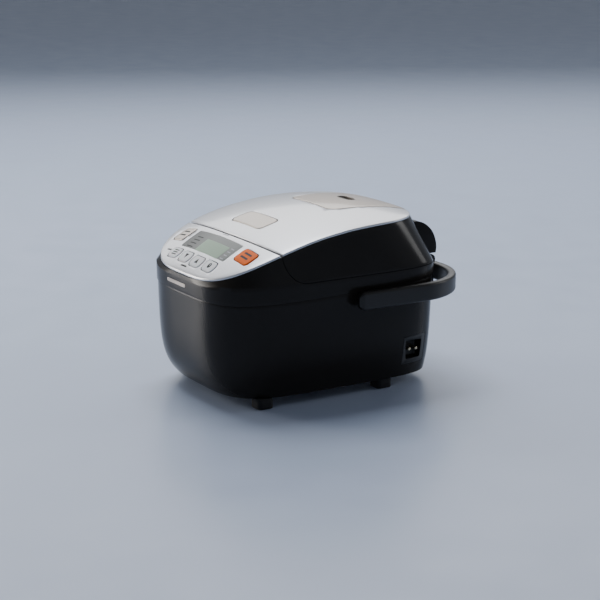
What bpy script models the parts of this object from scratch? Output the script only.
"""Electronic three-cup rice cooker with a hinged lid and a fold-back carrying handle.

World frame: +Z up, -Y is the control side, +Y is the hinge side, the cooker stands on z = 0 and
the origin is below the middle of its box. Every length is in metres.
"""
import math

import bmesh
import bpy
from mathutils import Matrix, Vector

# ---------------------------------------------------------------- driving dimensions
# overall
TOTAL_DEPTH = 0.298          # control panel's front edge to the back of the stowed handle
TOP_EDGE_Z = 0.1811          # height of the top's edge at the back
BODY_WIDTH = 0.2056          # housing at the height of the handle arms
HANDLE_REACH = 0.033         # the stowed handle's back behind the housing's back

# clearances
GAP = 0.0003                 # between fixed neighbours
SEAM = 0.0006                # open seam between lid and frame, and around buttons
SLIDE = 0.0006               # around a piece that slides

# housing
BODY_BOTTOM = 0.011          # underside above the floor
BODY_REF_Z = 0.118           # height at which the housing's width is given
BODY_TAPER = 0.006           # the side walls lean in by this from there to the bottom
BASE_ROUND = 0.0087          # how far the bottom edge is drawn in
FRONT_TUCK = 0.0089          # extra draw-in of the front wall near the bottom
PANEL_PROUD = 0.001          # the panel's front edge stands this far before the front wall
FRONT_CORNER = 4.0           # superellipse exponents of the plan: front and rear corners
REAR_CORNER = 5.2
WIDEST_FORWARD = 0.0039      # the plan is widest this far before its middle
SHELL_WALL = 0.0025
FRAME_WALL = 0.003
FRAME_PROUD = 0.0008         # the top frame stands proud of the housing below it
FRAME_SEAM_Z = 0.111         # lower edge of the top frame at the front
FRAME_SEAM_RISE = 0.0053     # and how much higher it lies at the back

# top surface: the silver outline, its height along Y, and its crown across X
TOP_SIDE_STEP = 0.00195      # the top's edge lies this far inside the housing's sides
TOP_BACK_STEP = 0.0181       # the top's rear edge lies this far before the housing's back
TOP_EXP_X = 3.28
TOP_EXP_Y = 3.76
CROWN = 0.0097               # the middle's rise above the edge
TOP_FALL = 0.0501            # fall of the edge towards the front edge
FALL_EXP = 2.51
FALL_BACK = 0.040            # it starts to fall this far before the top's rear edge
PLATE = 0.002                # thickness of the silver plates
PLATE_EDGE = 0.0008          # bevel on their upper edge
DECK_CLEAR = 0.0018          # air between the plates and the decks that carry them

# lid
LID_SEAM_Z = 0.130           # seam between frame and lid along the sides
SEAM_BACK = 0.0629           # the panel's rear edge behind its front edge, at the sides
SEAM_BOW = 0.008             # that edge lies farther forward in the middle
NOSE_RUN = 0.026             # the lid's front lower corner: an elliptic quarter, length
NOSE_RISE = 0.031            # and height
HINGE_Y_BACK = 0.008         # hinge axis behind the housing's back
HINGE_Z = 0.124
HINGE_HALF = 0.055           # half length of the hinge
HOOD_TOP_Z = 0.168
FLOOR_FIT = 0.0010           # round the lid's floor, inside its walls
HOOD_OUT = 0.0072            # the hood's back behind the hinge axis

# pan and heater
PAN_CENTRE_BACK = 0.094      # pan axis before the housing's back
PAN_R = 0.073
PAN_WALL = 0.0015
PAN_LIP = 0.007              # the flange's reach outside the pan's wall
OPENING_FIT = 0.003          # round the flange, in the top frame
PAN_FIT = 0.0035             # round the pan, in the ledge that carries its flange
LEDGE_TOP_Z = 0.120
LEDGE_THICK = 0.003
PAN_BOTTOM_Z = 0.0445
PAN_FILLET = 0.018
LINER_FIT = 0.0032           # round the pan, to the liner's outside
LINER_WALL = 0.001
HEATER_IN = 0.005            # the heating plate's edge inside the pan's wall
HEATER_THICK = 0.007
SENSOR_R = 0.0155
SENSOR_TRAVEL = 0.002

# carrying handle
HANDLE_GAP = 0.0043          # between the housing and the inside of an arm
HANDLE_THICK = 0.009
HANDLE_TALL = 0.019
HANDLE_MID_Z = 0.106
HANDLE_CORNER_R = 0.073      # outer corner in plan
HANDLE_FRONT_Y = -0.005      # front end of the arms
PIVOT_Y = 0.007
PIVOT_Z = 0.104
PIVOT_R = 0.0035

# controls: (name, x, distance behind the panel's front edge, width, depth)
KEYS = (
    ("start_key", 0.0655, 0.0400, 0.0250, 0.0162),
    ("cancel_key", -0.0655, 0.0400, 0.0215, 0.0185),
    ("menu_key", -0.0415, 0.0157, 0.0195, 0.0102),
    ("down_key", -0.0165, 0.0150, 0.0200, 0.0104),
    ("up_key", 0.0090, 0.0145, 0.0200, 0.0104),
    ("timer_key", 0.0340, 0.0152, 0.0195, 0.0106),
)
KEY_CORNER = 0.0038
KEY_RAISE = 0.0005
KEY_TRAVEL = 0.0006
KEY_FLANGE = 0.0012          # the flange that keeps a key under the panel
WINDOW_WIDTH = 0.0912
WINDOW_DEPTH = 0.0238
WINDOW_BACK = 0.0365         # window centre behind the panel's front edge
OPENING_MARGIN = 0.0055      # deck left round the opening below the panel
BOARD_DROP = 0.0150          # control board below the panel
BUTTON_WIDTH = 0.0593
BUTTON_DEPTH = 0.0242
BUTTON_BACK = 0.0874         # its centre behind the panel's front edge
BUTTON_CORNER = 0.006
BUTTON_TALL = 0.010
BUTTON_TRAVEL = 0.002

# steam vent
VENT_FRONT_BACK = 0.1543     # cap's front edge behind the panel's front edge
VENT_FRONT_W = 0.084
VENT_REAR_W = 0.100
VENT_CORNER = 0.011
SLOT_WIDTH = 0.023
SLOT_DEPTH = 0.0095
SLOT_FROM_REAR = 0.0472      # slot centre before the top's rear edge
DUCT_R = 0.011
DUCT_WALL = 0.002
VALVE_R = 0.014
VALVE_TALL = 0.014

# mains inlet
INLET_Y_BACK = 0.0385        # its centre before the housing's back
INLET_Z = 0.040
INLET_SIZE = 0.0315
INLET_INSET = 0.0063         # its outer face inside the housing's greatest width
INLET_DEPTH = 0.022
SOCKET_WIDTH = 0.020
SOCKET_TALL = 0.020
SOCKET_DEPTH = 0.012
INLET_BORDER = 0.0025        # rim round its recess
INLET_RECESS = 0.005

# feet, base plate and screws
FOOT_SIZE = 0.0185
FOOT_INSET = 0.0018          # the feet's outer faces inside the bottom edge
FRONT_FEET_IN = 0.050        # their centres behind the housing's front
REAR_FEET_IN = 0.070         # and before its back
BASE_THICK = 0.0025
BASE_FIT = 0.0009            # round the base plate, inside the housing's wall
SCREW_R = 0.0015
SCREW_HEAD_R = 0.003

# ---------------------------------------------------------------- derived places
FRONT_Y = -TOTAL_DEPTH / 2                       # the panel's front edge
HANDLE_BACK_Y = TOTAL_DEPTH / 2
BODY_FRONT_Y = FRONT_Y + PANEL_PROUD
BODY_REAR_Y = HANDLE_BACK_Y - HANDLE_REACH
BODY_MID_Y = (BODY_FRONT_Y + BODY_REAR_Y) / 2 - WIDEST_FORWARD
TOP_REAR_Y = BODY_REAR_Y - TOP_BACK_STEP
TOP_MID_Y = (FRONT_Y + TOP_REAR_Y) / 2
TOP_WIDTH = BODY_WIDTH - 2 * TOP_SIDE_STEP
FALL_START = TOP_REAR_Y - FALL_BACK
FALL_RUN = FALL_START - FRONT_Y
TOP_HALF_L = (TOP_REAR_Y - FRONT_Y) / 2
ABOVE = TOP_EDGE_Z + CROWN + 0.01                # clear of everything
SEAM_Y = FRONT_Y + SEAM_BACK
NOSE_TOP_Z = LID_SEAM_Z + NOSE_RISE
HOOK_Y = SEAM_Y + NOSE_RUN - SEAM_BOW - 0.0005   # the latch hook's blade
LATCH_Z = LID_SEAM_Z + 0.010                     # the hook turns about this height
PAN_Y = BODY_REAR_Y - PAN_CENTRE_BACK
HINGE_Y = BODY_REAR_Y + HINGE_Y_BACK
DECK_DROP = PLATE + DECK_CLEAR                   # decks lie this far below the top surface
SLOT_Y = TOP_REAR_Y - SLOT_FROM_REAR
BUTTON_Y = FRONT_Y + BUTTON_BACK
ARM_X = BODY_WIDTH / 2 + HANDLE_GAP + HANDLE_THICK / 2
INLET_X = BODY_WIDTH / 2 - INLET_INSET
INLET_Y = BODY_REAR_Y - INLET_Y_BACK
PAN_FLANGE_R = PAN_R + PAN_LIP
OPENING_R = PAN_FLANGE_R + OPENING_FIT
LEDGE_R = PAN_R + PAN_FIT
LINER_R = PAN_R + LINER_FIT
HEATER_R = PAN_R - HEATER_IN

RING = 48                    # points round a housing section
TURN = 36                    # steps round a large turned piece
SMALL_TURN = 20

# ---------------------------------------------------------------- scene, materials, helpers
for old in list(bpy.data.objects):
    bpy.data.objects.remove(old, do_unlink=True)

PARTS = bpy.data.collections.new("rice_cooker")
CUTTERS = bpy.data.collections.new("cutters")
for collection in (PARTS, CUTTERS):
    bpy.context.scene.collection.children.link(collection)


def material(name, colour, roughness, metallic=0.0):
    made = bpy.data.materials.new(name)
    made.use_nodes = True
    shader = made.node_tree.nodes["Principled BSDF"]
    shader.inputs["Base Color"].default_value = (*colour, 1)
    shader.inputs["Roughness"].default_value = roughness
    shader.inputs["Metallic"].default_value = metallic
    made.diffuse_color = (*colour, 1)
    return made


BLACK = material("gloss_black_abs", (0.010, 0.010, 0.011), 0.18)
DARK = material("matt_black_pp", (0.020, 0.020, 0.022), 0.55)
SILVER = material("silver_lacquered_abs", (0.66, 0.67, 0.70), 0.35, 0.3)
CHAMPAGNE = material("beige_silver_abs", (0.55, 0.53, 0.50), 0.35, 0.3)
WHITE = material("white_silicone", (0.78, 0.79, 0.80), 0.5)
ORANGE = material("orange_silicone", (0.70, 0.21, 0.03), 0.5)
WINDOW = material("clear_grey_window", (0.33, 0.38, 0.33), 0.1)
BOARD = material("green_circuit_board", (0.02, 0.12, 0.05), 0.5)
ALU = material("aluminium", (0.72, 0.72, 0.73), 0.35, 1.0)
STEEL = material("zinc_plated_steel", (0.55, 0.56, 0.58), 0.35, 1.0)
PAN_COAT = material("nonstick_coating", (0.035, 0.035, 0.038), 0.35)
RUBBER = material("black_rubber", (0.025, 0.025, 0.025), 0.7)
SEAL = material("grey_silicone", (0.45, 0.45, 0.46), 0.6)
BRASS = material("brass", (0.75, 0.58, 0.25), 0.3, 1.0)


def place(obj, finish, collection=PARTS):
    collection.objects.link(obj)
    obj.data.materials.append(finish)
    if collection is CUTTERS:
        obj.hide_render = True
        obj.display_type = "WIRE"
    return obj


def from_bmesh(name, bm, finish, collection=PARTS, smooth=True):
    bmesh.ops.recalc_face_normals(bm, faces=bm.faces)
    mesh = bpy.data.meshes.new(name)
    bm.to_mesh(mesh)
    bm.free()
    if smooth:
        mesh.shade_smooth()
        mesh.set_sharp_from_angle(angle=math.radians(35))
    return place(bpy.data.objects.new(name, mesh), finish, collection)


def loft(name, rings, finish, collection=PARTS, caps=(True, True)):
    """Skin equal rings of points, and close the first and last with a face or a fan."""
    bm = bmesh.new()
    rows = [[bm.verts.new(point) for point in ring] for ring in rings]
    for low, high in zip(rows, rows[1:]):
        count = len(low)
        for i in range(count):
            j = (i + 1) % count
            bm.faces.new((low[i], low[j], high[j], high[i]))
    for row, wanted in ((rows[0], caps[0]), (rows[-1], caps[1])):
        if wanted is True:
            bm.faces.new(row)
        elif wanted:
            centre = bm.verts.new(wanted)
            for i in range(len(row)):
                bm.faces.new((row[i], row[(i + 1) % len(row)], centre))
    return from_bmesh(name, bm, finish, collection)


def boolean(target, other, operation="DIFFERENCE"):
    mod = target.modifiers.new(operation.lower(), "BOOLEAN")
    mod.operation = operation
    mod.solver = "EXACT"
    mod.object = other
    return target


def block(name, low, high, finish=DARK, collection=PARTS):
    """Box between two corners."""
    bm = bmesh.new()
    bmesh.ops.create_cube(bm, size=1)
    size = Vector(high) - Vector(low)
    centre = (Vector(high) + Vector(low)) / 2
    bm.transform(Matrix.Translation(centre) @ Matrix.Diagonal((*size, 1)))
    return from_bmesh(name, bm, finish, collection, smooth=False)


AXIS_TURN = {
    "X": Matrix.Rotation(math.pi / 2, 4, "Y"),
    "Y": Matrix.Rotation(math.pi / 2, 4, "X"),
    "Z": Matrix.Identity(4),
}


def rod(name, centre, radius, length, axis="Z", finish=DARK, collection=PARTS, steps=SMALL_TURN):
    """Cylinder with its middle at centre."""
    bm = bmesh.new()
    bmesh.ops.create_cone(bm, cap_ends=True, segments=steps, radius1=radius, radius2=radius,
                          depth=length)
    bm.transform(Matrix.Translation(centre) @ AXIS_TURN[axis])
    return from_bmesh(name, bm, finish, collection)


def turned(name, profile, centre, finish, closed=True, steps=TURN, collection=PARTS):
    """Turn (radius, height) points about the vertical through centre.

    The points run down the outer side, top to bottom. An open profile starts and ends on the
    axis.
    """
    bm = bmesh.new()
    verts = [bm.verts.new((radius, 0, height)) for radius, height in profile]
    for a, b in zip(verts, verts[1:] + verts[:1] if closed else verts[1:]):
        bm.edges.new((a, b))
    mesh = bpy.data.meshes.new(name)
    bm.to_mesh(mesh)
    bm.free()
    obj = place(bpy.data.objects.new(name, mesh), finish, collection)
    obj.location = centre
    screw = obj.modifiers.new("turn", "SCREW")
    screw.steps = steps
    screw.render_steps = steps
    screw.use_merge_vertices = True
    screw.merge_threshold = 1e-6
    screw.use_smooth_shade = True
    weld = obj.modifiers.new("weld", "WELD")
    weld.merge_threshold = 1e-6
    return obj


def arc(centre_r, centre_z, radius, start, stop, steps):
    """Points of a fillet in a turned profile; angles in degrees."""
    angles = [math.radians(start + (stop - start) * i / steps) for i in range(steps + 1)]
    return [(centre_r + radius * math.cos(a), centre_z + radius * math.sin(a)) for a in angles]


def coil(name, centre, radius, wire, turns, height, finish, axis="Z", per_turn=10):
    """Round wire spring along an axis through centre."""
    curve = bpy.data.curves.new(name, "CURVE")
    curve.dimensions = "3D"
    curve.bevel_depth = wire / 2
    curve.bevel_resolution = 0
    curve.use_fill_caps = True
    spline = curve.splines.new("POLY")
    count = int(turns * per_turn) + 1
    spline.points.add(count - 1)
    turn = Matrix.Translation(centre) @ AXIS_TURN[axis]
    for i, point in enumerate(spline.points):
        angle = 2 * math.pi * i / per_turn
        along = height * (i / (count - 1) - 0.5)
        local = Vector((radius * math.cos(angle), radius * math.sin(angle), along))
        point.co = (*(turn @ local), 1)
    return place(bpy.data.objects.new(name, curve), finish)


# ---------------------------------------------------------------- outlines and surfaces
def power(value, exponent):
    return math.copysign(abs(value) ** exponent, value)


def body_point(angle, z, inset=0.0):
    """Point of the housing's section at height z."""
    s = (BODY_REF_Z - z) / (BODY_REF_Z - BODY_BOTTOM)
    low = max(s, 0)
    half = BODY_WIDTH / 2 - BODY_TAPER * s - BASE_ROUND * low ** 4.5 - inset
    front = BODY_FRONT_Y + FRONT_TUCK * low ** 4.3 + BASE_ROUND * low ** 9 + inset
    rear = BODY_REAR_Y - BASE_ROUND * 0.2 * low ** 4.5 - inset
    c = math.cos(angle)
    s_angle = math.sin(angle)
    exponent = 2 / (FRONT_CORNER if s_angle < 0 else REAR_CORNER)
    reach = BODY_MID_Y - front if s_angle < 0 else rear - BODY_MID_Y
    return Vector((half * power(c, exponent), BODY_MID_Y + reach * power(s_angle, exponent), z))


def top_outline(angle, inset=0.0):
    x = (TOP_WIDTH / 2 - inset) * power(math.cos(angle), 2 / TOP_EXP_X)
    y = TOP_MID_Y + (TOP_HALF_L - inset) * power(math.sin(angle), 2 / TOP_EXP_Y)
    return x, y


def edge_z(y):
    """Height of the top surface's edge."""
    forward = max(FALL_START - y, 0) / FALL_RUN
    return TOP_EDGE_Z - TOP_FALL * forward ** FALL_EXP


def top_z(x, y):
    """Height of the crowned top surface."""
    along = min(abs(y - TOP_MID_Y) / TOP_HALF_L, 1)
    half = TOP_WIDTH / 2 * max(1 - along ** TOP_EXP_Y, 1e-6) ** (1 / TOP_EXP_X)
    across = max(1 - (x / half) ** 2, 0)
    return edge_z(y) + CROWN * across * (1 - along ** 4)


def frame_seam_z(y):
    return FRAME_SEAM_Z + FRAME_SEAM_RISE * (y - BODY_FRONT_Y) / (BODY_REAR_Y - BODY_FRONT_Y)


def angles(count=RING):
    return [2 * math.pi * (i + 0.5) / count for i in range(count)]


def form_point(angle, share, inset, drop):
    """Outer surface between the lid seam (share 0) and the top's edge (share 1)."""
    low = body_point(angle, LID_SEAM_Z, inset - FRAME_PROUD)
    x, y = top_outline(angle, inset + PLATE_EDGE)
    high = Vector((x, y, edge_z(y) - drop))
    low.z = min(low.z, high.z - 0.004)
    return low.lerp(high, share)


def upper_form(name, inset, drop, collection, bottom=None):
    """Closed solid of frame and lid together: walls up to the top's edge, and a crowned deck."""
    rings = []
    if bottom is None:
        ring = [body_point(a, BODY_REF_Z, inset - FRAME_PROUD) for a in angles()]
        for point in ring:
            point.z = frame_seam_z(point.y)
        rings.append(ring)
    else:
        rings.append([body_point(a, BODY_REF_Z, inset - FRAME_PROUD) for a in angles()])
        for point in rings[0]:
            point.z = bottom
    for share in (0, 0.5, 1):
        rings.append([form_point(a, share, inset, drop) for a in angles()])
    edge = rings[-1]
    centre = Vector((0, TOP_MID_Y, 0))
    for scale in (0.9, 0.7, 0.38):
        ring = []
        for point in edge:
            x, y = (centre + (point - centre) * scale).xy
            ring.append(Vector((x, y, top_z(x, y) - drop)))
        rings.append(ring)
    tip = Vector((0, TOP_MID_Y, top_z(0, TOP_MID_Y) - drop))
    return loft(name, rings, BLACK, collection, caps=(True, tip))


def bow(x):
    """Forward shift of the lid's front wall."""
    return SEAM_BOW * (1 - min(abs(x) / (TOP_WIDTH / 2), 1) ** 2)


def nose_y(x, z, gap):
    """The lid's front wall at a height: an elliptic quarter below, upright above."""
    rise = max(min((NOSE_TOP_Z - z) / (NOSE_RISE - gap), 1), 0)
    run = (NOSE_RUN - gap) * math.sqrt(1 - rise * rise)
    return SEAM_Y + NOSE_RUN - run - bow(x)


def lid_space(name, gap, floor_z, collection=CUTTERS):
    """Everything behind the lid's front wall and above its seam, drawn in by a gap."""
    reach = BODY_WIDTH
    high = ABOVE + 0.04
    back = BODY_REAR_Y + 0.05
    lowest = max(floor_z, LID_SEAM_Z + gap)
    rings = []
    for i in range(17):
        x = reach * (i / 8 - 1) * 0.75
        front = [(x, nose_y(x, high, gap), high)]
        for k in range(9):
            z = NOSE_TOP_Z - (NOSE_TOP_Z - lowest) * math.sin(math.pi / 2 * k / 8)
            front.append((x, nose_y(x, z, gap), z))
        if floor_z < lowest:
            front.append((x, front[-1][1], floor_z))
        rings.append([Vector(p) for p in front + [(x, back, floor_z), (x, back, high)]])
    return loft(name, rings, BLACK, collection)


def rounded_rectangle(width, depth, corner, steps=2, rear_width=None):
    """Outline centred on zero, anticlockwise, with its rear side optionally wider."""
    rear = width if rear_width is None else rear_width
    points = []
    corners = ((rear / 2, depth / 2, 0), (-rear / 2, depth / 2, 90),
               (-width / 2, -depth / 2, 180), (width / 2, -depth / 2, 270))
    for x, y, start in corners:
        cx = x - math.copysign(corner, x)
        cy = y - math.copysign(corner, y)
        for i in range(steps + 1):
            angle = math.radians(start + 90 * i / steps)
            points.append((cx + corner * math.cos(angle), cy + corner * math.sin(angle)))
    return points


def grow(outline, amount):
    """Offset a convex outline outward."""
    count = len(outline)
    grown = []
    for i in range(count):
        before = Vector(outline[i - 1])
        after = Vector(outline[(i + 1) % count])
        along = (after - before).normalized()
        grown.append((outline[i][0] + along.y * amount, outline[i][1] - along.x * amount))
    return grown


def shifted(outline, x, y):
    return [(px + x, py + y) for px, py in outline]


def middle(outline):
    count = len(outline)
    return sum(p[0] for p in outline) / count, sum(p[1] for p in outline) / count


def on_top(outline, lift, scale=1.0, about=(0, 0)):
    """Lay an outline on the top surface, raised by lift."""
    ring = []
    for x, y in outline:
        px = about[0] + (x - about[0]) * scale
        py = about[1] + (y - about[1]) * scale
        ring.append(Vector((px, py, top_z(px, py) + lift)))
    return ring


def crowned_plate(name, outline, upper, lower, finish, bevel=PLATE_EDGE, flange=0.0,
                  flange_thick=0.0, scales=(0.8, 0.5), collection=PARTS):
    """Plate that follows the top surface between two offsets from it, with a bevelled edge.

    A flange, where wanted, widens its lower part.
    """
    about = middle(outline)
    inner = grow(outline, -bevel)
    rings = []
    wide = grow(outline, flange) if flange else outline
    for scale in reversed(scales):
        rings.append(on_top(wide, lower, scale, about))
    rings.append(on_top(wide, lower))
    if flange:
        rings.append(on_top(wide, lower + flange_thick))
        rings.append(on_top(outline, lower + flange_thick))
    rings.append(on_top(outline, upper - bevel))
    rings.append(on_top(inner, upper))
    for scale in scales:
        rings.append(on_top(inner, upper, scale, about))
    tips = [Vector((*about, top_z(*about) + offset)) for offset in (lower, upper)]
    return loft(name, rings, finish, collection, caps=tips)


def prism(name, outline, low, high, finish=DARK, collection=CUTTERS):
    """Upright prism over an outline."""
    rings = [[Vector((x, y, z)) for x, y in outline] for z in (low, high)]
    return loft(name, rings, finish, collection)


def top_part(rear, inset, count=28, across=13):
    """Outline of the top behind its seam (rear) or before it, drawn in by inset."""
    edge = SEAM_Y + inset if rear else SEAM_Y - inset

    def seam_y(x):
        return edge - bow(x)

    low, high = -math.pi / 2 + 0.05, 0.0
    for _ in range(40):
        mid = (low + high) / 2
        x, y = top_outline(mid, inset)
        if y < seam_y(x):
            low = mid
        else:
            high = mid
    end_x = top_outline(low, inset)[0]
    seam = [(end_x * (2 * i / (across - 1) - 1), 0) for i in range(across)]
    seam = [(x, seam_y(x)) for x, _ in seam]
    if rear:
        sweep = [low + (math.pi - 2 * low) * i / count for i in range(1, count)]
        return seam + [top_outline(a, inset) for a in sweep]
    start = -math.pi - low
    sweep = [start + (low - start) * i / count for i in range(1, count)]
    return list(reversed(seam)) + [top_outline(a, inset) for a in sweep]


# ---------------------------------------------------------------- housing
def make_body_shell():
    heights = [BODY_BOTTOM + (BODY_REF_Z - BODY_BOTTOM) * f for f in (0, 0.06, 0.14, 0.25, 0.45)]
    rings = [[body_point(a, z) for a in angles()] for z in heights]
    upper = [body_point(a, BODY_REF_Z) for a in angles()]
    for point in upper:
        point.z = frame_seam_z(point.y) - GAP
    rings.append(upper)
    shell = loft("body_shell", rings, BLACK, caps=(False, False))
    wall = shell.modifiers.new("wall", "SOLIDIFY")
    wall.thickness = SHELL_WALL
    wall.offset = -1
    wall.use_even_offset = True
    reach = INLET_SIZE / 2 + GAP
    hole = block("inlet_hole", (INLET_X - INLET_DEPTH, INLET_Y - reach, INLET_Z - reach),
                 (INLET_X + 0.03, INLET_Y + reach, INLET_Z + reach), collection=CUTTERS)
    boolean(shell, hole)
    bore = rod("pivot_bore", (0, PIVOT_Y, PIVOT_Z), PIVOT_R + GAP, BODY_WIDTH + 0.04, "X",
               collection=CUTTERS)
    return boolean(shell, bore)


def make_top_frame():
    frame = upper_form("top_frame", 0, DECK_DROP, PARTS)
    boolean(frame, lid_space("lid_space", 0, LID_SEAM_Z))
    hollow = upper_form("frame_hollow", FRAME_WALL, DECK_DROP + FRAME_WALL, CUTTERS,
                        bottom=FRAME_SEAM_Z - 0.02)
    boolean(hollow, lid_space("lid_floor", -FRAME_WALL, LID_SEAM_Z - FRAME_WALL))
    core = rod("well_core", (0, PAN_Y, LID_SEAM_Z), OPENING_R + FRAME_WALL,
               2 * (LID_SEAM_Z - LEDGE_TOP_Z + LEDGE_THICK), collection=CUTTERS, steps=TURN)
    boolean(hollow, core)
    boolean(frame, hollow)
    top = LID_SEAM_Z + 0.02
    low = LEDGE_TOP_Z - 0.02
    well = turned("pan_well", [(0, top), (OPENING_R, top), (OPENING_R, LEDGE_TOP_Z),
                               (LEDGE_R, LEDGE_TOP_Z), (LEDGE_R, low), (0, low)],
                  (0, PAN_Y, 0), DARK, closed=False, collection=CUTTERS)
    boolean(frame, well)
    opening = top_part(False, OPENING_MARGIN, count=16, across=9)
    boolean(frame, prism("control_opening", opening, FRAME_SEAM_Z + 0.006, ABOVE))
    slot = block("latch_slot", (-0.0095, HOOK_Y - 0.0047, FRAME_SEAM_Z),
                 (0.0095, HOOK_Y + 0.0034, LID_SEAM_Z + 0.006), collection=CUTTERS)
    return boolean(frame, slot)


def make_base():
    ring = [body_point(a, BODY_BOTTOM, SHELL_WALL + BASE_FIT) for a in angles()]
    outline = [(p.x, p.y) for p in ring]
    base = prism("base_plate", outline, BODY_BOTTOM, BODY_BOTTOM + BASE_THICK, DARK, PARTS)
    for i in range(5):
        y = PAN_Y - OPENING_R - 0.022 - i * 0.009 + 0.030
        slot = block(f"base_slot_{i}", (-0.024, y - 0.002, BODY_BOTTOM - 0.01),
                     (0.024, y + 0.002, BODY_BOTTOM + 0.01), collection=CUTTERS)
        boolean(base, slot)
    for side, end, x, y in foot_places():
        screw_x, screw_y = screw_place(x, y)
        hole = rod(f"screw_hole_{end}_{side}", (screw_x, screw_y, BODY_BOTTOM), SCREW_R + GAP,
                   0.03, collection=CUTTERS, steps=12)
        boolean(base, hole)
        make_screw(f"base_screw_{end}_{side}", screw_x, screw_y)
        outline = shifted(rounded_rectangle(FOOT_SIZE, FOOT_SIZE, 0.004), x, y)
        small = grow(outline, -0.0008)
        rings = [[Vector((px, py, z)) for px, py in shape]
                 for shape, z in ((small, 0), (outline, 0.0008), (outline, BODY_BOTTOM - GAP))]
        loft(f"foot_{end}_{side}", rings, RUBBER)


def foot_places():
    half = BODY_WIDTH / 2 - BODY_TAPER - BASE_ROUND - FOOT_INSET - FOOT_SIZE / 2
    for end, y in (("front", BODY_FRONT_Y + FRONT_FEET_IN), ("rear", BODY_REAR_Y - REAR_FEET_IN)):
        for side, sign in (("left", -1), ("right", 1)):
            yield side, end, sign * half, y


def screw_place(x, y):
    return x - math.copysign(FOOT_SIZE / 2 + 0.009, x), y


def make_screw(name, x, y):
    head = BODY_BOTTOM - GAP
    turned(name, [(0, 0.024), (SCREW_R, 0.0225), (SCREW_R, head), (SCREW_HEAD_R, head),
                  (SCREW_HEAD_R, head - 0.0012), (SCREW_HEAD_R * 0.6, head - 0.002),
                  (0, head - 0.002)], (x, y, 0), STEEL, closed=False, steps=12)


# ---------------------------------------------------------------- pan, heater, sensor
def make_heating():
    floor = PAN_BOTTOM_Z - GAP - HEATER_THICK
    hole = SENSOR_R + SLIDE * 2
    turned("heating_plate", [(HEATER_R, floor + HEATER_THICK - 0.001), (HEATER_R, floor),
                             (hole, floor), (hole, floor + HEATER_THICK),
                             (HEATER_R - 0.001, floor + HEATER_THICK)], (0, PAN_Y, 0), ALU)
    low = floor - 0.004
    liner_top = LEDGE_TOP_Z - LEDGE_THICK - GAP
    turned("heater_liner", [(LINER_R, liner_top), (LINER_R, low), (hole + 0.004, low),
                            (hole + 0.004, low + LINER_WALL),
                            (LINER_R - LINER_WALL, low + LINER_WALL),
                            (LINER_R - LINER_WALL, liner_top)], (0, PAN_Y, 0), ALU)
    band_in = LINER_R + GAP * 2
    turned("side_heater_band", [(band_in + 0.0015, 0.100), (band_in + 0.0015, 0.070),
                                (band_in, 0.070), (band_in, 0.100)], (0, PAN_Y, 0), SEAL)
    cap_top = PAN_BOTTOM_Z - GAP
    skirt = floor - 0.003
    turned("centre_sensor", [(0, cap_top), (SENSOR_R - 0.001, cap_top), (SENSOR_R, cap_top - 0.001),
                             (SENSOR_R, skirt), (SENSOR_R - 0.001, skirt),
                             (SENSOR_R - 0.001, cap_top - 0.002), (0, cap_top - 0.002)],
           (0, PAN_Y, 0), ALU, closed=False, steps=24)
    spring_top = cap_top - 0.002 - SENSOR_TRAVEL - GAP * 2
    spring_low = BODY_BOTTOM + BASE_THICK + 0.0022
    coil("sensor_spring", (0, PAN_Y, (spring_top + spring_low) / 2), 0.009, 0.0012, 6,
         spring_top - spring_low - 0.0016, STEEL)


def make_pan():
    top = LEDGE_TOP_Z + GAP + 0.0017
    inner = PAN_R - PAN_WALL
    floor = PAN_BOTTOM_Z + PAN_WALL
    inside = arc(inner - PAN_FILLET, floor + PAN_FILLET, PAN_FILLET, -90, 0, 4)
    outside = arc(PAN_R - PAN_FILLET - PAN_WALL, PAN_BOTTOM_Z + PAN_FILLET + PAN_WALL,
                  PAN_FILLET + PAN_WALL, 0, -90, 4)
    rim = [(inner, top - 0.002), (inner + 0.002, top), (PAN_FLANGE_R - 0.0006, top),
           (PAN_FLANGE_R, top - 0.0006), (PAN_FLANGE_R, top - 0.0017), (PAN_R, top - 0.0017)]
    turned("inner_pan", [(0, floor)] + inside + rim + outside + [(0, PAN_BOTTOM_Z)],
           (0, PAN_Y, 0), PAN_COAT, closed=False)


# ---------------------------------------------------------------- controls
def key_outline(x, back, width, depth):
    return shifted(rounded_rectangle(width, depth, KEY_CORNER), x, FRONT_Y + back)


def make_controls():
    panel = crowned_plate("control_panel", top_part(False, SEAM / 2), 0, -PLATE, SILVER,
                          scales=(0.87, 0.6, 0.3))
    window = shifted(rounded_rectangle(WINDOW_WIDTH, WINDOW_DEPTH, 0.002), 0,
                     FRONT_Y + WINDOW_BACK)
    boolean(panel, prism("window_hole", grow(window, GAP), FRAME_SEAM_Z, ABOVE))
    crowned_plate("lcd_window", window, 0, -PLATE + GAP, WINDOW, bevel=0.0003)
    for name, x, back, width, depth in KEYS:
        outline = key_outline(x, back, width, depth)
        boolean(panel, prism(f"{name}_hole", grow(outline, SLIDE), FRAME_SEAM_Z, ABOVE))
        finish = ORANGE if name == "start_key" else CHAMPAGNE if name == "cancel_key" else WHITE
        crowned_plate(name, outline, KEY_RAISE, -PLATE - GAP - 0.0035, finish,
                      bevel=0.0006, flange=KEY_FLANGE, flange_thick=0.0035, scales=(0.6,))
    make_board()


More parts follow.
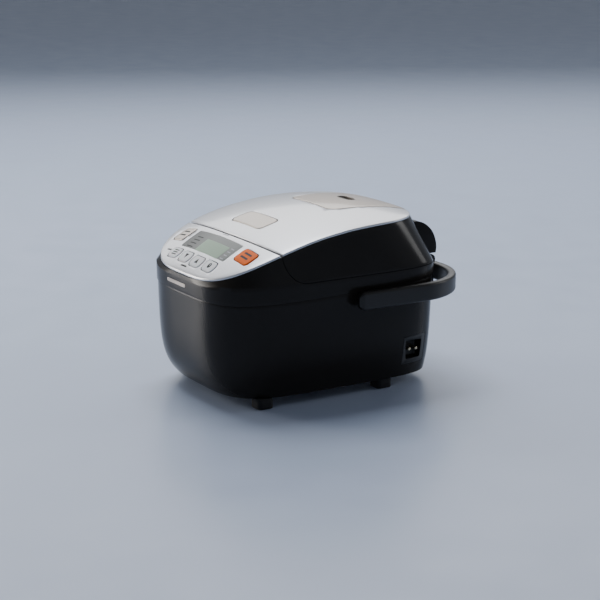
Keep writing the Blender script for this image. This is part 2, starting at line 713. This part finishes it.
def make_board():
    """Control board below the panel, tilted like it, with a switch below each key."""
    y = FRONT_Y + 0.027
    tilt = math.atan2(edge_z(y + 0.01) - edge_z(y - 0.01), 0.02)
    origin = Vector((0, y, top_z(0, y) - BOARD_DROP))
    lay = Matrix.Translation(origin) @ Matrix.Rotation(tilt, 4, "X")
    board = block("control_board", (-0.069, -0.012, -0.0016), (0.069, 0.020, 0), BOARD)
    board.data.transform(lay)
    for name, x, back, width, depth in KEYS:
        key_y = FRONT_Y + back
        local = lay.inverted() @ Vector((x, key_y, top_z(x, key_y)))
        top = local.z - PLATE - 0.0038 - KEY_TRAVEL - 0.0006
        switch = block(f"{name}_switch", (local.x - 0.003, local.y - 0.003, -0.001),
                       (local.x + 0.003, local.y + 0.003, top), BOARD, CUTTERS)
        switch.data.transform(lay)
        boolean(board, switch, "UNION")
    module = block("lcd_module", (-WINDOW_WIDTH / 2 + 0.006, -0.011, 0.0004),
                   (WINDOW_WIDTH / 2 - 0.006, 0.011, 0.0045), WINDOW)
    shift = lay.inverted() @ Vector((0, FRONT_Y + WINDOW_BACK, origin.z + 0.0041))
    module.data.transform(lay @ Matrix.Translation((0, shift.y, 0)))


def make_power_board():
    y = BODY_FRONT_Y + 0.030
    board = block("power_board", (-0.055, y, 0.026), (0.055, y + 0.0016, 0.092), BOARD)
    lumps = (("transformer", -0.035, 0.045, 0.028, 0.024, 0.020),
             ("capacitor", 0.005, 0.042, 0.013, 0.013, 0.022),
             ("relay", 0.035, 0.048, 0.018, 0.024, 0.016),
             ("heat_sink", 0.010, 0.076, 0.036, 0.018, 0.012))
    for name, x, z, wide, tall, deep in lumps:
        lump = block(name, (x - wide / 2, y + 0.001, z - tall / 2),
                     (x + wide / 2, y + 0.0016 + deep, z + tall / 2), BOARD, CUTTERS)
        boolean(board, lump, "UNION")


def make_inlet():
    half = INLET_SIZE / 2
    housing = block("inlet_housing", (INLET_X - INLET_DEPTH, INLET_Y - half, INLET_Z - half),
                    (INLET_X, INLET_Y + half, INLET_Z + half), BLACK)
    recess = half - INLET_BORDER
    floor_x = INLET_X - INLET_RECESS
    boolean(housing, block("inlet_recess", (floor_x, INLET_Y - recess, INLET_Z - recess),
                           (INLET_X + 0.01, INLET_Y + recess, INLET_Z + recess),
                           collection=CUTTERS))
    wide = SOCKET_WIDTH / 2
    tall = SOCKET_TALL / 2
    boolean(housing, block("inlet_socket",
                           (floor_x - SOCKET_DEPTH, INLET_Y - wide, INLET_Z - tall),
                           (INLET_X + 0.01, INLET_Y + wide, INLET_Z + tall), collection=CUTTERS))
    heights = [INLET_Z + half * (i / 4 - 1) * 1.2 for i in range(9)]
    outside = [[body_point(angle, z) for angle in angles()] for z in heights]
    boolean(housing, loft("inlet_flush", outside, BLACK, CUTTERS), "INTERSECT")
    pin_in = INLET_X - INLET_DEPTH - 0.004
    pin_out = floor_x - 0.001
    for name, offset in (("inlet_pin_front", -0.0042), ("inlet_pin_rear", 0.0042)):
        centre = ((pin_in + pin_out) / 2, INLET_Y + offset, INLET_Z)
        bore = rod(f"{name}_bore", centre, 0.0018 + GAP, 0.06, "X", collection=CUTTERS, steps=12)
        boolean(housing, bore)
        rod(name, centre, 0.0018, pin_out - pin_in, "X", BRASS, steps=12)


# ---------------------------------------------------------------- lid
def make_lid_shell():
    lid = upper_form("lid_shell", 0, DECK_DROP, PARTS)
    boolean(lid, lid_space("lid_outer", SEAM, LID_SEAM_Z + SEAM), "INTERSECT")
    hollow = upper_form("lid_hollow", SHELL_WALL, DECK_DROP + SHELL_WALL, CUTTERS)
    boolean(hollow, lid_space("lid_inner", SEAM + SHELL_WALL, LID_SEAM_Z - 0.01), "INTERSECT")
    boolean(lid, hollow)
    button = shifted(button_outline(), 0, BUTTON_Y)
    boolean(lid, prism("button_hole", grow(button, SLIDE), LID_SEAM_Z, ABOVE))
    hook = block("hook_hole", (-0.0085, HOOK_Y - 0.0030, LID_SEAM_Z - 0.01),
                 (0.0085, HOOK_Y + 0.0035, LID_SEAM_Z + 0.02), collection=CUTTERS)
    boolean(lid, hook)
    boolean(lid, rod("valve_hole", (0, SLOT_Y, ABOVE), VALVE_R + SLIDE * 2, 4 * VALVE_TALL,
                     collection=CUTTERS, steps=24))


def button_outline():
    return rounded_rectangle(BUTTON_WIDTH, BUTTON_DEPTH, BUTTON_CORNER)


def vent_outline():
    depth = TOP_REAR_Y - FRONT_Y - VENT_FRONT_BACK
    outline = rounded_rectangle(VENT_FRONT_W, depth, VENT_CORNER, 4, VENT_REAR_W)
    return shifted(outline, 0, TOP_REAR_Y - depth / 2)


def make_lid_top():
    panel = crowned_plate("lid_top_panel", top_part(True, SEAM / 2, count=32), 0, -PLATE, SILVER,
                          scales=(0.88, 0.6, 0.3))
    button = shifted(button_outline(), 0, BUTTON_Y)
    boolean(panel, prism("button_cut", grow(button, SLIDE), LID_SEAM_Z, ABOVE))
    notch = [(x, y + (0.02 if y > SLOT_Y else 0)) for x, y in grow(vent_outline(), SEAM)]
    boolean(panel, prism("vent_cut", notch, LID_SEAM_Z, ABOVE))


def make_vent():
    """Cap that continues the top's outline at the back, over a cup that goes into the duct."""
    cap = crowned_plate("steam_vent_cap", top_part(True, SEAM / 2, count=32), 0, -PLATE, CHAMPAGNE,
                        scales=(0.88, 0.6, 0.3))
    wide = [(x, y + (0.02 if y > SLOT_Y else 0)) for x, y in vent_outline()]
    boolean(cap, prism("vent_keep", wide, LID_SEAM_Z, ABOVE), "INTERSECT")
    slot = shifted(rounded_rectangle(SLOT_WIDTH, SLOT_DEPTH, SLOT_DEPTH * 0.45), 0, SLOT_Y)
    boolean(cap, prism("steam_slot", slot, LID_SEAM_Z, ABOVE))
    top = top_z(0, SLOT_Y) - PLATE - DECK_CLEAR - GAP
    low = top - VALVE_TALL
    turned("steam_vent_valve", [(VALVE_R, top), (VALVE_R, low), (0.004, low),
                                (0.004, low + 0.0015), (VALVE_R - 0.0015, low + 0.0015),
                                (VALVE_R - 0.0015, top)], (0, SLOT_Y, 0), DARK, steps=24)
    duct_top = low - GAP
    duct_low = LID_SEAM_Z - 0.0005
    inner = DUCT_R - DUCT_WALL
    turned("steam_duct", [(DUCT_R, duct_top), (DUCT_R, duct_low), (inner, duct_low),
                          (inner, duct_top)], (0, SLOT_Y, 0), DARK, steps=24)


def make_lid_inside():
    low = LID_SEAM_Z + 0.0012
    base = prism("lid_base", lid_floor_outline(), low, low + 0.002, DARK, PARTS)
    boolean(base, rod("duct_hole", (0, SLOT_Y, low), DUCT_R + GAP, 0.02, collection=CUTTERS,
                      steps=24))
    plate_low = LID_SEAM_Z - 0.0025
    plate = turned("lid_heating_plate", [(0, plate_low + 0.001), (PAN_R - 0.001, plate_low + 0.001),
                                         (PAN_R - 0.001, plate_low), (0, plate_low)], (0, PAN_Y, 0), ALU,
                   closed=False)
    boolean(plate, rod("plate_hole", (0, SLOT_Y, plate_low), DUCT_R - DUCT_WALL, 0.02,
                       collection=CUTTERS, steps=24))
    rim = LEDGE_TOP_Z + GAP + 0.0017
    edge = PAN_R + 0.0005
    inner = turned("inner_lid", [(0, rim + 0.0036), (edge, rim + 0.0036), (edge, rim + 0.002),
                                 (PAN_R - 0.003, rim + 0.002), (PAN_R - 0.005, rim + 0.0004),
                                 (0, rim + 0.0004)],
                   (0, PAN_Y, 0), ALU, closed=False)
    boolean(inner, rod("steam_hole", (0, SLOT_Y, rim), 0.006, 0.02, collection=CUTTERS, steps=24))
    lip = PAN_FLANGE_R - 0.0005
    turned("inner_lid_gasket", [(lip - 0.0015, rim + 0.0040), (lip, rim + 0.0030), (lip, rim + GAP),
                                (lip - 0.0025, rim + GAP), (edge + 0.0005, rim + 0.0010),
                                (edge + 0.0005, rim + 0.0040)], (0, PAN_Y, 0), SEAL)


def lid_floor_outline():
    """The lid's floor: the housing's plan drawn in by the walls, cut by the front wall's foot."""
    inset = SHELL_WALL + FLOOR_FIT
    foot = SEAM_Y + NOSE_RUN + inset

    def wall_y(x):
        return foot - bow(x)

    low, high = -math.pi / 2 + 0.05, 0.0
    for _ in range(40):
        mid = (low + high) / 2
        point = body_point(mid, LID_SEAM_Z, inset)
        if point.y < wall_y(point.x):
            low = mid
        else:
            high = mid
    end_x = body_point(low, LID_SEAM_Z, inset).x
    front = [(end_x * (i / 6 - 1), wall_y(end_x * (i / 6 - 1))) for i in range(13)]
    count = 32
    sweep = [low + (math.pi - 2 * low) * i / count for i in range(1, count)]
    rear = [body_point(a, LID_SEAM_Z, inset) for a in sweep]
    return front + [(p.x, p.y) for p in rear]


def make_open_button():
    outline = shifted(button_outline(), 0, BUTTON_Y)
    crowned_plate("open_button", outline, 0.0002, -BUTTON_TALL, CHAMPAGNE, scales=(0.6,))
    spring_top = top_z(0.016, BUTTON_Y) - BUTTON_TALL - 0.0016
    spring_low = LID_SEAM_Z + 0.0044
    coil("button_spring", (0.016, BUTTON_Y, (spring_top + spring_low) / 2), 0.003, 0.0009, 9,
         spring_top - spring_low, STEEL, per_turn=8)
    make_latch()


def make_latch():
    """Hook on two trunnions, with a lever that the button presses on."""
    top = top_z(0, HOOK_Y) - BUTTON_TALL - BUTTON_TRAVEL - 0.0012
    push_y = BUTTON_Y + BUTTON_DEPTH / 2 - 0.004
    hook = block("latch_hook", (-0.0065, HOOK_Y - 0.0012, LID_SEAM_Z - 0.010),
                 (0.0065, HOOK_Y + 0.0012, top), STEEL)
    barb = block("latch_barb", (-0.0065, HOOK_Y, LID_SEAM_Z - 0.010),
                 (0.0065, HOOK_Y + 0.0024, LID_SEAM_Z - 0.0065), STEEL, CUTTERS)
    lever = block("latch_lever", (-0.0065, HOOK_Y, top - 0.002),
                  (0.0065, push_y + 0.003, top), STEEL, CUTTERS)
    pad = block("latch_pad", (-0.0065, push_y - 0.001, top - 0.001),
                (0.0065, push_y + 0.003, top_z(0, push_y - 0.001) - BUTTON_TALL - 0.0005),
                STEEL, CUTTERS)
    trunnion = rod("latch_trunnion", (0, HOOK_Y, LATCH_Z), 0.002, 0.022, "X", STEEL, CUTTERS, 12)
    for extra in (barb, lever, pad, trunnion):
        boolean(hook, extra, "UNION")


# ---------------------------------------------------------------- hinge
def wall_back_y(z):
    """Back of frame and lid on the middle plane."""
    low = BODY_REAR_Y + FRAME_PROUD
    share = max(z - LID_SEAM_Z, 0) / (TOP_EDGE_Z - DECK_DROP - LID_SEAM_Z)
    return low + (TOP_REAR_Y - PLATE_EDGE - low) * share


def make_hinge():
    hood_out = HINGE_Y + HOOD_OUT
    tip_z = LID_SEAM_Z + 0.001
    bulge = [(HOOD_TOP_Z, wall_back_y(HOOD_TOP_Z) + 0.0008)]
    for i in range(1, 8):
        angle = math.radians(90 * i / 8)
        z = LID_SEAM_Z + 0.006 + (HOOD_TOP_Z - LID_SEAM_Z - 0.006) * math.cos(angle)
        y = wall_back_y(HOOD_TOP_Z) + (hood_out - wall_back_y(HOOD_TOP_Z)) * math.sin(angle)
        bulge.append((z, y))
    bulge += [(LID_SEAM_Z + 0.006, hood_out), (tip_z, hood_out - 0.0008)]
    wall = [(tip_z, wall_back_y(tip_z) + GAP), (HOOD_TOP_Z, wall_back_y(HOOD_TOP_Z) + GAP)]
    outline = bulge + wall
    rings = [[Vector((x, y, z)) for z, y in outline] for x in (-HINGE_HALF, HINGE_HALF)]
    hood = loft("lid_hinge_hood", rings, BLACK)
    knuckle = 0.006
    for name, sign in (("left", -1), ("right", 1)):
        lug = rod(f"lid_lug_{name}", (sign * 0.0315, HINGE_Y, HINGE_Z), knuckle, 0.014, "X",
                  collection=CUTTERS)
        web = block(f"lid_web_{name}", (sign * 0.0315 - 0.007, HINGE_Y - 0.0055, HINGE_Z),
                    (sign * 0.0315 + 0.007, HINGE_Y + 0.0055, LID_SEAM_Z + 0.003),
                    collection=CUTTERS)
        boolean(hood, lug, "UNION")
        boolean(hood, web, "UNION")
    bore = rod("lid_bore", (0, HINGE_Y, HINGE_Z), 0.002 + GAP, 3 * HINGE_HALF, "X",
               collection=CUTTERS)
    boolean(hood, bore)
    low_y = BODY_REAR_Y + FRAME_PROUD + GAP
    bracket = block("hinge_bracket", (-HINGE_HALF, low_y, HINGE_Z - 0.028),
                    (HINGE_HALF, HINGE_Y + 0.0045, HINGE_Z - 0.0075), BLACK)
    for name, sign in (("left", -1), ("right", 1)):
        ear_x = sign * (HINGE_HALF - 0.0072)
        ear = rod(f"ear_{name}", (ear_x, HINGE_Y, HINGE_Z), knuckle - 0.0002, 0.0144, "X",
                  collection=CUTTERS)
        web = block(f"ear_web_{name}", (ear_x - 0.0072, low_y, HINGE_Z - 0.010),
                    (ear_x + 0.0072, HINGE_Y + 0.0045, HINGE_Z), collection=CUTTERS)
        boolean(bracket, ear, "UNION")
        boolean(bracket, web, "UNION")
    boolean(bracket, bore)
    rod("hinge_pin", (0, HINGE_Y, HINGE_Z), 0.002, 2 * HINGE_HALF - 0.001, "X", STEEL, steps=16)
    coil("hinge_spring", (0, HINGE_Y, HINGE_Z), 0.0042, 0.0012, 8, 0.046, STEEL, axis="X",
         per_turn=9)


# ---------------------------------------------------------------- handle
def handle_path():
    """Middle line of the bar in plan, with the outward direction, from right arm to left arm."""
    radius = HANDLE_CORNER_R - HANDLE_THICK / 2
    back = HANDLE_BACK_Y - HANDLE_THICK / 2
    nose = 0.006
    path = [(ARM_X, HANDLE_FRONT_Y + nose * f, 0.0, tall)
            for f, tall in ((0, 0.55), (0.12, 0.78), (0.4, 0.94), (1, 1))]
    path.append((ARM_X, PIVOT_Y + 0.012, 0.0, 1))
    for i in range(7):
        angle = math.pi / 2 * i / 6
        path.append((ARM_X - radius + radius * math.cos(angle),
                     back - radius + radius * math.sin(angle), angle, 1))
    mirrored = [(-x, y, math.pi - angle, tall) for x, y, angle, tall in reversed(path)]
    return path + mirrored


def make_handle():
    rings = []
    for x, y, angle, tall in handle_path():
        out = Vector((math.cos(angle), math.sin(angle), 0))
        section = rounded_rectangle(HANDLE_THICK, HANDLE_TALL * tall,
                                    min(0.0036, HANDLE_TALL * tall / 3))
        rings.append([Vector((x, y, HANDLE_MID_Z)) + out * u + Vector((0, 0, v))
                      for u, v in section])
    handle = loft("handle", rings, DARK)
    seat = HANDLE_THICK * 0.6
    inner = ARM_X - HANDLE_THICK / 2
    for side, sign in (("left", -1), ("right", 1)):
        bore = rod(f"arm_bore_{side}", (sign * (inner + seat / 2 - 0.005), PIVOT_Y, PIVOT_Z),
                   PIVOT_R + GAP, seat + 0.01, "X", collection=CUTTERS)
        boolean(handle, bore)
        pin_in = BODY_WIDTH / 2 - 0.012
        pin_out = inner + seat - GAP * 2
        pin = rod(f"handle_pivot_{side}", (sign * (pin_in + pin_out) / 2, PIVOT_Y, PIVOT_Z),
                  PIVOT_R, pin_out - pin_in, "X", STEEL)
        washer = rod(f"pivot_washer_{side}",
                     (sign * (BODY_WIDTH / 2 + HANDLE_GAP / 2 + 0.0003), PIVOT_Y, PIVOT_Z),
                     0.0055, HANDLE_GAP - 0.0018, "X", collection=CUTTERS)
        boolean(pin, washer, "UNION")


def hang(name, place_on_axis, *nodes):
    """Parent moving pieces to an empty on their joint's axis."""
    axis = bpy.data.objects.new(name, None)
    axis.location = place_on_axis
    PARTS.objects.link(axis)
    for node in nodes:
        child = bpy.data.objects[node]
        child.parent = axis
        child.matrix_parent_inverse = Matrix.Translation(place_on_axis).inverted()


make_body_shell()
make_top_frame()
make_base()
make_heating()
make_pan()
make_controls()
make_power_board()
make_inlet()
make_lid_shell()
make_lid_top()
make_vent()
make_lid_inside()
make_open_button()
make_hinge()
make_handle()

hang("handle_axis", (0, PIVOT_Y, PIVOT_Z), "handle")
hang("lid_axis", (0, HINGE_Y, HINGE_Z), "lid_shell", "lid_top_panel", "lid_hinge_hood", "lid_base",
     "lid_heating_plate", "inner_lid", "inner_lid_gasket", "steam_duct", "button_spring")
hang("vent_axis", (0, SLOT_Y, TOP_EDGE_Z), "steam_vent_cap", "steam_vent_valve")
hang("button_axis", (0, BUTTON_Y, TOP_EDGE_Z), "open_button")
hang("latch_axis", (0, HOOK_Y, LATCH_Z), "latch_hook")
hang("sensor_axis", (0, PAN_Y, PAN_BOTTOM_Z), "centre_sensor")
for key_name, key_x, key_back, _, _ in KEYS:
    key_y = FRONT_Y + key_back
    hang(f"{key_name}_axis", (key_x, key_y, top_z(key_x, key_y)), key_name)
